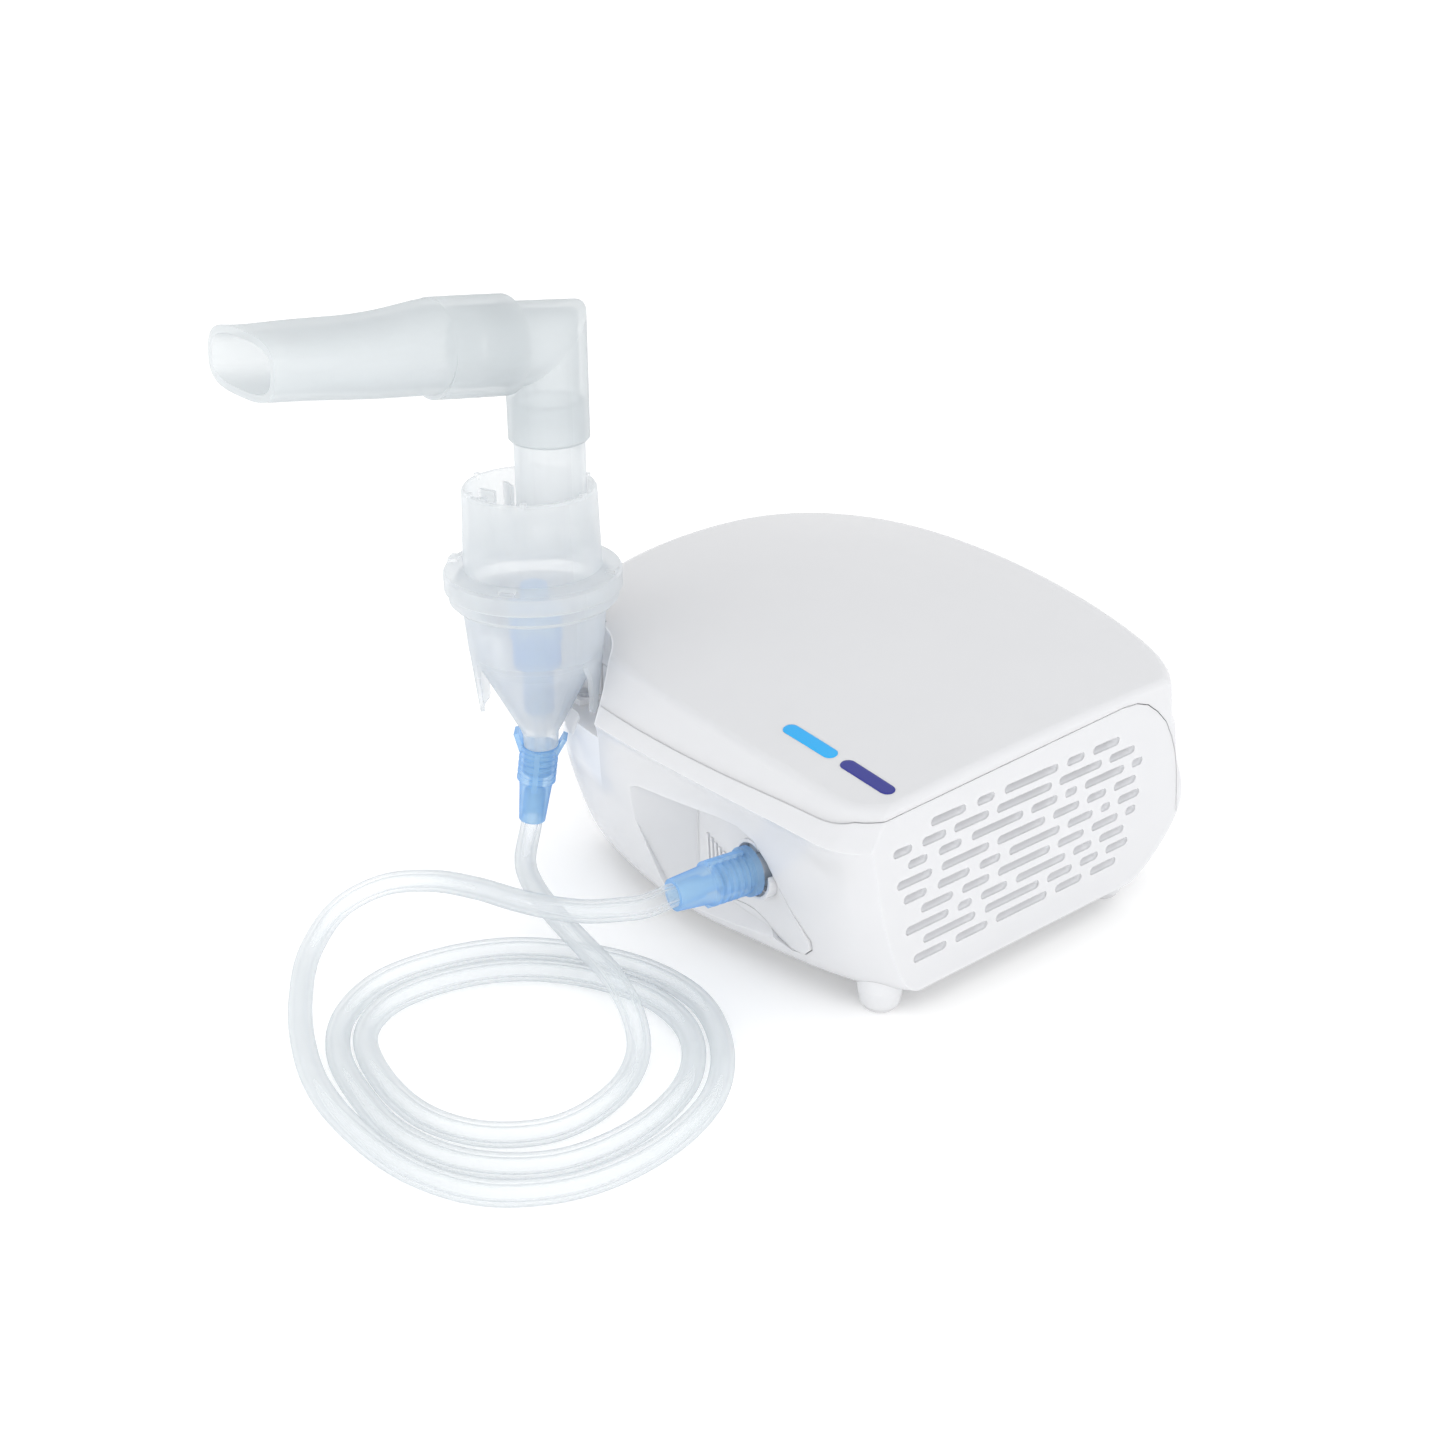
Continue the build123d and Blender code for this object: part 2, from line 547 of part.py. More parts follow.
def air_tube_outlet_end():
    straight = cyl(OUTLET + OUTLET_DIR * 18.2, OUTLET_DIR, TUBE_R, 9.8)
    path = [OUTLET + OUTLET_DIR * 28.0, (32.4, -107.2, 38.6), (27.2, -112.6, 36.6),
            (18.0, -116.6, 33.6)]
    return straight + pipe(path, TUBE_R, (OUTLET_DIR, (-0.93, -0.26, -0.28)))


def air_tube_coil():
    return pipe(COIL_PATH, TUBE_R)


# ---------------------------------------------------------------- nebulizer cup
# tilted inlet: the push-on connector leans away from the compressor
INLET_DIR = Vector(-0.086, -0.102, -0.991).normalized()
INLET = Vector(CUP_X, CUP_Y, Z_CUP + 3.2)
LEG_ANGLE = 48.0
# half outline of a skirt leg, wide at the root, narrow at the tip: (across, above Z_CUP)
LEG_HALF = [(-16.5, 38.0), (-12.0, 32.5), (-8.8, 26.5), (-7.2, 20.5), (-6.2, 15.0),
            (-5.0, 13.6)]


def nebulizer_cup():
    # profiles are (radius, height above Z_CUP)
    cup = revolved([
        (2.0, 0), (5.5, 0), (5.8, 5), (18.4, 29.5), (19.4, 32), (21.0, 34.5),
        (22.3, RING_H), (24.8, RING_H), (26.1, RING_H + 1.4), (26.1, RING_H + 4.3),
        (23.5, RING_H + 4.3), (23.5, RING_H + 7.6), (22.0, RING_H + 7.6), (21.0, RING_H),
        (19.6, 35.5), (17.4, 30.6), (5.4, 6.8), (3.8, 8), (2.8, 27), (0.6, 28),
        (0.6, 26.2), (1.8, 25), (2.0, 6.5)], CUP_BASE)
    skirt = revolved([(20.9, 34.3), (22.3, RING_H - 1), (21.1, RING_H - 1), (19.7, 35.3),
                      (17.3, 13.5), (18.6, 13.5)], CUP_BASE)
    outline = LEG_HALF + [(-p, q) for p, q in LEG_HALF[::-1]]
    legs = []
    for angle in (LEG_ANGLE, LEG_ANGLE + 180):
        a = math.radians(angle)
        plane = Plane(origin=CUP_BASE, x_dir=(-math.sin(a), math.cos(a), 0),
                      z_dir=(math.cos(a), math.sin(a), 0))
        corners = [plane.from_local_coords(Vector(p, q, 0)) for p, q in outline]
        face = Face(Wire.make_polygon(corners, close=True))
        legs.append(Solid.extrude(face, plane.z_dir * 40) & skirt)
    cup = cup + legs[0] + legs[1]
    cup = cup + (tube(INLET, INLET_DIR, 4.4, 1.8, 13.0)
                 - upright(CUP_X, CUP_Y, Z_CUP + 3.0, 1.7, 8))
    return cup - upright(CUP_X, CUP_Y, Z_CUP + 1.5, 1.75, 12)


def across_inlet(direction):
    """the part of a direction that lies square to the inlet axis"""
    return (direction - INLET_DIR * direction.dot(INLET_DIR)).normalized()


def cup_connector():
    rings, end = grip_rings(1.6, 2.3, 5.6, 6.25)
    profile = [(4.55, 0.0), (6.3, 0.0), (6.3, 1.4)] + rings
    profile += [(5.4, end + 0.4), (5.2, end + 2.0), (4.3, 27.0), (3.45, 27.0),
                (3.45, 16.5), (2.2, 16.0), (2.2, 10.6), (4.55, 10.0)]
    conn = revolved(profile, INLET + INLET_DIR * 3.3, INLET_DIR)
    plane = Plane(origin=INLET + INLET_DIR * 10.6,
                  x_dir=across_inlet(Vector(0.765, -0.644, 0)), z_dir=INLET_DIR)
    conn = conn + ((plane * Box(13.6, 1.8, 14.0)) - cyl(INLET, INLET_DIR, 5.0, 40))
    # two tilted ears beside the top
    side = across_inlet(Vector(0.644, 0.765, 0))
    for s in (-1, 1):
        plane = Plane(origin=INLET + INLET_DIR * 2.2 + side * (6.6 * s),
                      x_dir=side, z_dir=INLET_DIR)
        conn = conn + plane * (Rot(0, -22 * s, 0) * Box(1.5, 6.0, 6.4))
    # room for the inlet stub and for the cup's cone
    conn = conn - cyl(INLET - INLET_DIR * 2, INLET_DIR, 4.55, 15.3)
    conn = conn - revolved([(0, -0.6), (5.9, -0.6), (6.2, 5), (18.9, 29.5), (0, 29.5)],
                           CUP_BASE)
    return largest(conn)


def air_tube_cup_end():
    return cyl(INLET + INLET_DIR * 20.2, INLET_DIR, TUBE_R, 11.0)


def baffle():
    shape = revolved([(6.4, 28.2), (7.5, 28.2), (7.5, 41.4), (4.6, 46.4), (4.1, 55),
                      (0, 55), (0, 36.4), (3.4, 36.4), (3.95, 12.5), (4.9, 12.5),
                      (4.7, 34.2), (6.4, 34.2)], CUP_BASE)
    for angle in (45, 135, 225, 315):
        shape = shape + around_cup(angle, 5.4, Z_CUP + 43, Box(5.6, 1.2, 13))
    return shape


def nebulizer_cap():
    rim = RING_H + 4.5     # underside of the cap's rim, above Z_CUP
    cap = revolved([
        (23.8, rim), (27.0, rim), (27.4, rim + 0.5), (27.4, rim + 5.4), (26.9, rim + 6.3),
        (24.4, rim + 6.6), (21.3, rim + 7.0), (20.4, CAP_H - 0.8), (19.9, CAP_H),
        (18.9, CAP_H), (18.6, CAP_H - 0.8), (18.9, 71), (0, 71), (0, DECK_H),
        (19.6, DECK_H), (20.0, rim + 5.4), (20.2, rim + 3.6), (23.8, rim + 3.6)], CUP_BASE)
    z_deck = Z_CUP + DECK_H
    cap = cap + upright(CUP_X, CHIM_Y, z_deck, CHIM_R, Z_CHIM_TOP - z_deck)
    cap = cap - upright(CUP_X, CHIM_Y, 100, CHIM_R - 1.4, 80)
    # radial ribs between chimney and rim
    for angle in range(170, 351, 30):
        rib = around_cup(angle, 16.0, Z_CUP + 76.5, Box(6.2, 1.1, 12.0))
        cap = cap + (rib - upright(CUP_X, CHIM_Y, 90, CHIM_R - 0.5, 80))
    # six round studs on the top edge
    for k in range(6):
        x, y = cup_polar(19.4, 20 + 60 * k)
        cap = cap + upright(x, y, Z_CUP + CAP_H - 1.2, 1.0, 1.9)
    # four blocks on the rim
    for k in range(4):
        cap = cap + around_cup(38 + 90 * k, 25.2, Z_CUP + rim + 6.3, Box(3.0, 5.0, 2.4))
    return cap


# ---------------------------------------------------------------- elbow and mouthpiece
def mitred(r_upright, r_arm, z_bottom, arm_length):
    """upright cylinder and side arm joined at the mitre plane"""
    normal = (ARM_DIR + Vector(0, 0, 1)).normalized()
    mitre = Plane(origin=CORNER, x_dir=(1, 0, 0), z_dir=normal)
    beyond = mitre * Pos(0, 0, 60) * Box(200, 200, 120)
    leg = upright(CUP_X, CHIM_Y, z_bottom, r_upright, 80)
    arm = cyl(CORNER - ARM_DIR * 40, ARM_DIR, r_arm, 40 + arm_length)
    return (leg - beyond) + (arm & beyond)


def elbow():
    """the side arm points to the front and rises a little"""
    shape = mitred(ARM_R, ARM_R, Z_ELBOW_RIM, 14.2)
    shape = shape + cyl(CORNER + ARM_DIR * 13.5, ARM_DIR, SPIGOT_R, 13.5)
    z_start = Z_ELBOW_RIM - 1
    shape = shape - mitred(9.6, 10.0, z_start, 60)
    # socket over the chimney
    shape = shape - upright(CUP_X, CHIM_Y, z_start, CHIM_R + RUN, Z_CHIM_TOP + 0.4 - z_start)
    # the lower rim keeps a sharp edge if the chamfer can't be built
    try:
        rim = [e for e in shape.edges()
               if abs(e.center().Z - Z_ELBOW_RIM) < 0.05 and e.length > 70]
        shape = shape.solids()[0].chamfer(0.9, None, [max(rim, key=lambda e: e.length)])
    except Exception:
        pass
    return shape


# stations along the arm from the elbow corner:
# (distance, half width, half height, superellipse exponent, vertical offset)
MOUTH_SOCKET = [(MOUTH_START, 14.5, 14.5, 2.0, 0), (28, 14.4, 14.4, 2.0, 0),
                (39.5, 14.3, 14.2, 2.0, 0)]
MOUTH_BILL = [(39.5, 14.2, 13.4, 2.0, 0.6), (48, 14.8, 12.4, 2.15, -0.1),
              (58, 15.6, 11.2, 2.4, -0.9), (68, 16.6, 10.4, 2.6, -1.1),
              (82, 17.6, 9.5, 2.8, -1.1), (MOUTH_END, 18.6, 8.8, 3.0, -1.1)]
MOUTH_WALL = 2.0


def mouth_loft(stations, t=0):
    """loft through the stations, drawn in by t"""
    across = Vector(1, 0, 0)
    upward = ARM_DIR.cross(across)
    wires = []
    for distance, half_w, half_h, power, offset in stations:
        points = []
        for k in range(32):
            angle = 2 * math.pi * k / 32
            c, s = math.cos(angle), math.sin(angle)
            x = (half_w - t) * math.copysign(abs(c) ** (2.0 / power), c)
            z = (half_h - t) * math.copysign(abs(s) ** (2.0 / power), s)
            points.append(CORNER + ARM_DIR * distance + across * x + upward * (z + offset))
        wires.append(Wire([Edge.make_spline(points, periodic=True)]))
    return Solid.make_loft(wires)


def mouthpiece():
    """round socket, then a flattened duckbill"""
    shape = mouth_loft(MOUTH_SOCKET) + mouth_loft(MOUTH_BILL)
    # the hollow starts before the bill and runs out past its end
    first, last = MOUTH_BILL[0], MOUTH_BILL[-1]
    hollow = [(36.9,) + first[1:]] + MOUTH_BILL[1:-1] + [(last[0] + 1,) + last[1:]]
    shape = shape - mouth_loft(hollow, MOUTH_WALL)
    socket_r = SPIGOT_R + RUN
    shape = shape - cyl(CORNER + ARM_DIR * (MOUTH_START - 5), ARM_DIR, socket_r, 19.0)
    taper = Plane(origin=CORNER + ARM_DIR * (MOUTH_START + 13.9), z_dir=ARM_DIR)
    return shape - Solid.make_cone(socket_r, 11.0, 9.0, taper)


# ---------------------------------------------------------------- cradle in the dock
def nebulizer_holder():
    z0 = Z_DOCK + 0.3
    start = (CUP_X, CUP_Y, z0)
    r_out = DOCK_WIDE_R - 0.4
    height = Z_CUP + RING_H - 0.2 - z0
    wall = tube(start, UP, r_out, 23.1, height) & cup_sector(HOLD_A0, HOLD_A1)
    floor = tube(start, UP, r_out, 15.0, 2.0) & cup_sector(HOLD_A0, 132)
    # round bite out of the wall's far end
    bite = around_cup(HOLD_A1, 24, 62, Rot(0, 90, 0) * Cylinder(18, 8))
    return largest((wall + floor) - bite)


def holder_screws():
    profile = [(0, 0), (2.0, 0), (2.0, 1.4), (0, 1.4)]
    return [revolved(profile, (*cup_polar(19.0, a), Z_DOCK + 2.3)) for a in (95, 122)]


# ---------------------------------------------------------------- switch and inlet, left end
ROCKER_X = PANEL_X + 3.2       # rocker pivot
PIN_DY = 4.3                   # inlet pins, either side of the centre


def switch_frame():
    frame = (panel_box(-1.6, 0, SWITCH_Y, 12.0, 8.5)
             + panel_box(-0.1, 13.6, SWITCH_Y, 10.2, 6.4))
    frame = frame - panel_box(-3, 12, SWITCH_Y, 9.1, 5.2)
    return frame - upright(ROCKER_X, SWITCH_Y, PANEL_Z - 7, 1.2, 14)


def power_rocker():
    # outline (x from the panel face, y from the switch centre)
    outline = [(-0.2, -7.0), (-2.6, -7.0), (-1.0, 0), (0.6, 7.0), (2.2, 7.2), (5.6, 2.0),
               (5.6, -2.0)]
    rocker = prism([(PANEL_X + x, SWITCH_Y + y) for x, y in outline],
                   "Z", PANEL_Z - 5.0, PANEL_Z + 5.0)
    return rocker + upright(ROCKER_X, SWITCH_Y, PANEL_Z - 6.2, 1.15, 12.4)


def power_inlet():
    half, r = 4.0, 3.9     # figure-eight socket: lobe offset and radius
    inlet = (panel_box(-1.6, 0, INLET_Y, 12.5, 9)
             + panel_box(-0.1, 15.5, INLET_Y, 10.4, 6.9))
    socket = panel_box(-3, 11.0, INLET_Y, half, r)
    for s in (-1, 1):
        socket = socket + cyl((PANEL_X - 3, INLET_Y + half * s, PANEL_Z), (1, 0, 0), r, 14)
    inlet = inlet - socket
    for s in (-1, 1):
        inlet = inlet - cyl((PANEL_X + 9, INLET_Y + PIN_DY * s, PANEL_Z), (1, 0, 0), 1.2, 10)
    return inlet


def inlet_pins():
    return [cyl((PANEL_X + 2.5, INLET_Y + PIN_DY * s, PANEL_Z), (1, 0, 0), 1.18, 16.5)
            for s in (-1, 1)]


# ---------------------------------------------------------------- motor
SHAFT_Y, SHAFT_Z = 6.0, 38.0   # motor axis, parallel to X
SHAFT_R = 3.0
PRESS_R = SHAFT_R + 0.01       # bore of the parts fixed on the shaft
BEARING_R = 8.0
CHASSIS_Z = 15.2               # top of the chassis floor
MOUNTS = [(x, SHAFT_Y + dy) for x in (-30, 40) for dy in (-26, 26)]


def on_shaft(x0, x1, r, bore=0.0, lift=0.0):
    """cylinder along the motor axis, or lift above it, with an optional bore"""
    y, z = SHAFT_Y, SHAFT_Z + lift
    shape = cyl((x0, y, z), (1, 0, 0), r, x1 - x0)
    return shape - cyl((x0 - 1, y, z), (1, 0, 0), bore, x1 - x0 + 2) if bore else shape


def shaft_box(x0, x1, half_y, z0, z1):
    """box centred sideways on the motor axis"""
    return box(x0, x1, SHAFT_Y - half_y, SHAFT_Y + half_y, z0, z1)


def motor_chassis():
    """sheet-metal cradle: floor and two upright walls"""
    chassis = shaft_box(-34, 46, 30, 13.6, CHASSIS_Z)
    chassis = chassis + shaft_box(42.8, 44.4, 21, 15.1, 58) + shaft_box(-6.4, -4.8, 21, 15.1, 51)
    bearing_hole = BEARING_R + 0.05
    chassis = chassis - on_shaft(40, 48, bearing_hole) - on_shaft(-8, -2, bearing_hole)
    for x, y in MOUNTS:
        chassis = chassis - upright(x, y, 10, 2.2, 10)
    return chassis


def vibration_mounts():
    profile = [(0, 10.45), (4.2, 10.45), (4.2, 13.55), (2.15, 13.55), (2.15, 15.3),
               (3.6, 15.3), (3.2, 18.2), (0, 18.2)]
    return [revolved(profile, (x, y, 0)) for x, y in MOUNTS]


def shaft_bearings():
    return [on_shaft(x, x + 4.0, BEARING_R, SHAFT_R + RUN) for x in (-7.4, 41.8)]


def motor_stator():
    """lamination stack with a round bore, its lower corners cut away"""
    stator = shaft_box(6, 32, 25, SHAFT_Z - 17.0, SHAFT_Z + 20) - on_shaft(0, 40, 14.6)
    z0, z1 = SHAFT_Z - 17.1, SHAFT_Z - 6
    return (stator - box(5, 33, SHAFT_Y - 25.1, SHAFT_Y - 18, z0, z1)
            - box(5, 33, SHAFT_Y + 18, SHAFT_Y + 25.1, z0, z1))


def stator_coil():
    """coil over the top of the stator"""
    return (shaft_box(-1.5, 39.5, 13.0, SHAFT_Z + 15.4, SHAFT_Z + 26.0)
            - shaft_box(5.8, 32.2, 40, SHAFT_Z - 30, SHAFT_Z + 20.2))


def rotor_core():
    return on_shaft(7, 31, 14.0, PRESS_R)


def motor_shaft():
    return on_shaft(-24.5, 66.5, SHAFT_R)


def cooling_fan():
    """hub, seven pitched blades and a ring, inside the grille"""
    fan = on_shaft(55.5, 66.0, 7.0, PRESS_R)
    blade = Pos(0, 0, 14.2) * (Rot(0, 0, 34) * Box(1.4, 10.5, 16.5))
    for k in range(7):
        fan = fan + Pos(60.7, SHAFT_Y, SHAFT_Z) * (Rot(k * 360 / 7, 0, 0) * blade)
    return fan + on_shaft(62.5, 64.0, 22.5, 21.3)


# ---------------------------------------------------------------- pump
CRANK_E = 2.0              # crank throw
CRANK_X = -18.0
BORE_R = 12.0              # pump cylinder bore
ECCENTRIC_R = 6.4
PISTON_Z = 58.62           # underside of the piston seal
PLATE_Z = 64.65            # underside of the valve plate
HEAD_Z = 66.45             # underside of the cylinder head
PORT_Z = 69.4              # side ports of the head
VALVE_DY = 5.0             # valve holes and reeds, either side of the pump axis
HEAD_SCREWS = [(CRANK_X + 12.4 * a, SHAFT_Y + 12.4 * b) for a in (-1, 1) for b in (-1, 1)]


def pump_block(z0, z1):
    return shaft_box(CRANK_X - 15, CRANK_X + 15, 15, z0, z1)


def crank_counterweight():
    x0, x1 = CRANK_X + 5.0, CRANK_X + 10.0
    crank = on_shaft(x0, x1, 9.5, PRESS_R)
    crank = crank + (on_shaft(x0, x1, 14.0, 9.0) & shaft_box(-100, 100, 30, 0, SHAFT_Z - 3))
    return crank - on_shaft(CRANK_X, CRANK_X + 11, PRESS_R)


def crank_eccentric():
    return (on_shaft(CRANK_X - 4.0, CRANK_X + 4.6, ECCENTRIC_R, 0, CRANK_E)
            - on_shaft(CRANK_X - 6, CRANK_X + 6, PRESS_R))


def rod_bearing():
    return on_shaft(CRANK_X - 3.2, CRANK_X + 3.2, 9.6, ECCENTRIC_R + RUN, CRANK_E)


def connecting_rod():
    """eye, upright bar and round piston plate"""
    rod = on_shaft(CRANK_X - 3.2, CRANK_X + 3.2, 12.4, 9.62, CRANK_E)
    rod = rod + shaft_box(CRANK_X - 2.6, CRANK_X + 2.6, 4, SHAFT_Z + CRANK_E + 11.4, 57.2)
    return rod + upright(CRANK_X, SHAFT_Y, 56.0, 8.6, 2.6)


def piston_seal():
    return tube((CRANK_X, SHAFT_Y, PISTON_Z), UP, BORE_R - CRANK_E - 0.25, 1.6, 1.5)


def piston_clamp():
    return revolved([(0, PISTON_Z), (1.55, PISTON_Z), (1.55, 60.15), (6.5, 60.15),
                     (6.5, 61.4), (0, 61.4)], (CRANK_X, SHAFT_Y, 0))


def pump_cylinder():
    """cylinder with a square deck, carried by a side plate at the front and at the back"""
    shape = tube((CRANK_X, SHAFT_Y, 54.0), UP, 14.0, BORE_R, 10.6)
    shape = shape + (pump_block(62.2, 64.6) - upright(CRANK_X, SHAFT_Y, 50, BORE_R, 30))
    x0, x1 = CRANK_X - 14, CRANK_X + 11.4
    for s in (-1, 1):
        y_plate = SHAFT_Y + s * 17.5
        y_bridge = SHAFT_Y + s * 14.7
        shape = shape + box(x0, x1, y_plate - 2.0, y_plate + 2.0, CHASSIS_Z + 0.05, 63.0)
        shape = shape + box(x0, x1, y_bridge - 1.3, y_bridge + 1.3, 61.0, 63.8)
    return shape


def screw_holes(shape):
    for x, y in HEAD_SCREWS:
        shape = shape - upright(x, y, 60, 1.3, 20)
    return shape


def valve_plate():
    plate = pump_block(PLATE_Z, 66.4)
    for s in (-1, 1):
        plate = plate - upright(CRANK_X, SHAFT_Y + VALVE_DY * s, 60, 1.5, 10)
    return screw_holes(plate)


def cylinder_head():
    """block with two chambers, a hose stub at the front and a port at the back"""
    head = pump_block(HEAD_Z, 75.0)
    for s in (-1, 1):
        y = SHAFT_Y + 5.15 * s
        head = head - box(CRANK_X - 9.5, CRANK_X + 9.5, y - 4.35, y + 4.35, 66.4, 72.4)
    head = head + cyl((CRANK_X, SHAFT_Y - 14.9, PORT_Z), (0, -1, 0), 2.9, 7.5)
    for s in (-1, 1):
        head = head - cyl((CRANK_X, SHAFT_Y + 8 * s, PORT_Z), (0, s, 0), 1.6, 20)
    return screw_holes(head)


def valve_reeds():
    return [box(CRANK_X - 6, CRANK_X + 6, y - 2.2, y + 2.2, 66.5, 66.9)
            for y in (SHAFT_Y - VALVE_DY, SHAFT_Y + VALVE_DY)]


def head_screws():
    profile = [(0, 66.6), (1.2, 66.6), (1.2, 75.05), (2.4, 75.05), (2.4, 77.0), (0, 77.0)]
    return [revolved(profile, (x, y, 0)) for x, y in HEAD_SCREWS]


def discharge_hose():
    """internal hose from the head to the outlet port"""
    hose = pipe([(CRANK_X, SHAFT_Y - 17.2, PORT_Z), (CRANK_X, SHAFT_Y - 23, PORT_Z),
                 (-10, -27, 66.5), (4, -33, 60.5), (20, -37, 53.0), (34, -41, 45.5),
                 (39.8, -49.0, 41.0), OUTLET - OUTLET_DIR * 16.0,
                 OUTLET - OUTLET_DIR * 9.8], 4.4)
    return (hose - cyl((CRANK_X, SHAFT_Y - 10, PORT_Z), (0, -1, 0), 2.95, 13)
            - cyl(OUTLET - OUTLET_DIR * 15, OUTLET_DIR, 3.05, 16))


# ---------------------------------------------------------------- write the pieces
# each file takes the name of the function that builds the piece
PIECES = [
    top_cover, lower_housing, base_plate, feet, foot_pads, housing_screws,
    filter_cover, filter_felt, outlet_port, outlet_connector,
    air_tube_outlet_end, air_tube_coil, air_tube_cup_end,
    nebulizer_cup, cup_connector, baffle, nebulizer_cap, elbow, mouthpiece,
    nebulizer_holder, holder_screws,
    switch_frame, power_rocker, power_inlet, inlet_pins,
    motor_chassis, vibration_mounts, shaft_bearings, motor_stator, stator_coil,
    rotor_core, motor_shaft, cooling_fan,
    crank_counterweight, crank_eccentric, rod_bearing, connecting_rod,
    piston_seal, piston_clamp, pump_cylinder, valve_plate, cylinder_head,
    valve_reeds, head_screws, discharge_hose]

os.makedirs("parts", exist_ok=True)
for build in PIECES:
    save(build.__name__, build())
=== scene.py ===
# Compressor nebulizer: a hooded housing, a nebulizer in its dock, and an air tube that leaves
# the housing's front, lies coiled on the table and comes back to the nebulizer cup.
# +X is right, -Y is front, +Z is up. Sizes are in mm and are multiplied by MM when built;
# shader coordinates, lights and camera are in metres.
import json
import math

import bmesh
import bpy
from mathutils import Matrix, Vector
from mathutils.bvhtree import BVHTree


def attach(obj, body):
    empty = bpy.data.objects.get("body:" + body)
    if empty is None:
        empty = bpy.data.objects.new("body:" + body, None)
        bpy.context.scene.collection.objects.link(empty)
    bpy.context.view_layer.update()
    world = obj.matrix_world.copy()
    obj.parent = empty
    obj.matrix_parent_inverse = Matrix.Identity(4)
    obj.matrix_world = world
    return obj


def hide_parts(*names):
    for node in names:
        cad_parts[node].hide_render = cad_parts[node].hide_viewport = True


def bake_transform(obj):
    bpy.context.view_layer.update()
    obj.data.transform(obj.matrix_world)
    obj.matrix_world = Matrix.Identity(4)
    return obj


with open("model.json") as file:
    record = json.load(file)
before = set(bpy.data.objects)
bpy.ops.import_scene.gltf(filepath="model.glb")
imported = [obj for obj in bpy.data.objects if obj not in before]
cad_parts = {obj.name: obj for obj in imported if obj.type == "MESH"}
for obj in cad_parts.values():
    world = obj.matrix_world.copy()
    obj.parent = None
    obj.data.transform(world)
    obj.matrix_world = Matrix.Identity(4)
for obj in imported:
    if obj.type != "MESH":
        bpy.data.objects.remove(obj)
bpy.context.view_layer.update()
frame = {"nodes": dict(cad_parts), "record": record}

CAD_NODES = frame["nodes"]
MM = 0.001
TABLE = -8.0               # height of the table top in the part frame
CUP_AXIS = (-57.0, -80.0)  # x, y of the nebulizer's upright axis


# ---------------------------------------------------------------- shader helpers
MATERIALS = {}


def new_material(name):
    """Registers an empty material; returns its node tree and its surface input."""
    material = bpy.data.materials.new(name)
    material.use_nodes = True
    tree = material.node_tree
    tree.nodes.clear()
    MATERIALS[name] = material
    return tree, tree.nodes.new("ShaderNodeOutputMaterial").inputs[0]


def node(tree, kind, inputs=None, **settings):
    """Adds a node. Each input is given a value or the socket that feeds it."""
    made = tree.nodes.new(kind)
    for key, value in settings.items():
        setattr(made, key, value)
    for key, value in (inputs or {}).items():
        if isinstance(value, bpy.types.NodeSocket):
            tree.links.new(value, made.inputs[key])
        else:
            made.inputs[key].default_value = value
    return made


def object_coords(tree):
    return node(tree, "ShaderNodeTexCoord").outputs["Object"]


def noise(tree, scale, detail=4.0, roughness=0.55, coords=None):
    return node(tree, "ShaderNodeTexNoise", {
        "Vector": coords or object_coords(tree),
        "Scale": scale, "Detail": detail, "Roughness": roughness}).outputs["Fac"]


def remap(tree, value, source, target):
    """Maps the range source = (start, end) linearly onto the range target."""
    return node(tree, "ShaderNodeMapRange", {
        "From Min": source[0], "From Max": source[1],
        "To Min": target[0], "To Max": target[1], "Value": value}).outputs["Result"]


def mix_colours(tree, factor, first, second):
    return node(tree, "ShaderNodeMix", {0: factor, 6: (*first, 1), 7: (*second, 1)},
                data_type="RGBA").outputs[2]


def mix_shaders(tree, factor, first, second):
    return node(tree, "ShaderNodeMixShader",
                {0: factor, 1: first.outputs[0], 2: second.outputs[0]})


def bump(tree, height, strength, distance):
    return node(tree, "ShaderNodeBump", {
        "Strength": strength, "Distance": distance, "Height": height}).outputs["Normal"]


def calculate(tree, operation, *values):
    return node(tree, "ShaderNodeMath", dict(enumerate(values)), operation=operation).outputs[0]


# ---------------------------------------------------------------- kinds of material
NOISE_SPAN = (0.3, 0.7)  # part of the noise's range that is spread over a roughness range


def plastic(name, dark, light, roughness, grain, grain_strength,
            grain_depth=0.00004, coat=0.0, subsurface=0.0, specular=0.5, drift=30.0):
    """Moulded plastic: slow colour drift, surface grain and slightly varied roughness."""
    tree, surface = new_material(name)
    inputs = {
        "Base Color": mix_colours(tree, noise(tree, drift, detail=3), dark, light),
        "Roughness": remap(tree, noise(tree, 90.0, detail=5), NOISE_SPAN, roughness),
        "Normal": bump(tree, noise(tree, grain, detail=2), grain_strength, grain_depth),
        "Coat Weight": coat,
        "Coat Roughness": 0.12,
        "Specular IOR Level": specular,
    }
    if subsurface:
        inputs.update({"Subsurface Weight": subsurface,
                       "Subsurface Radius": (1.0, 1.0, 1.0),
                       "Subsurface Scale": 0.003})
    shader = node(tree, "ShaderNodeBsdfPrincipled", inputs)
    tree.links.new(shader.outputs[0], surface)


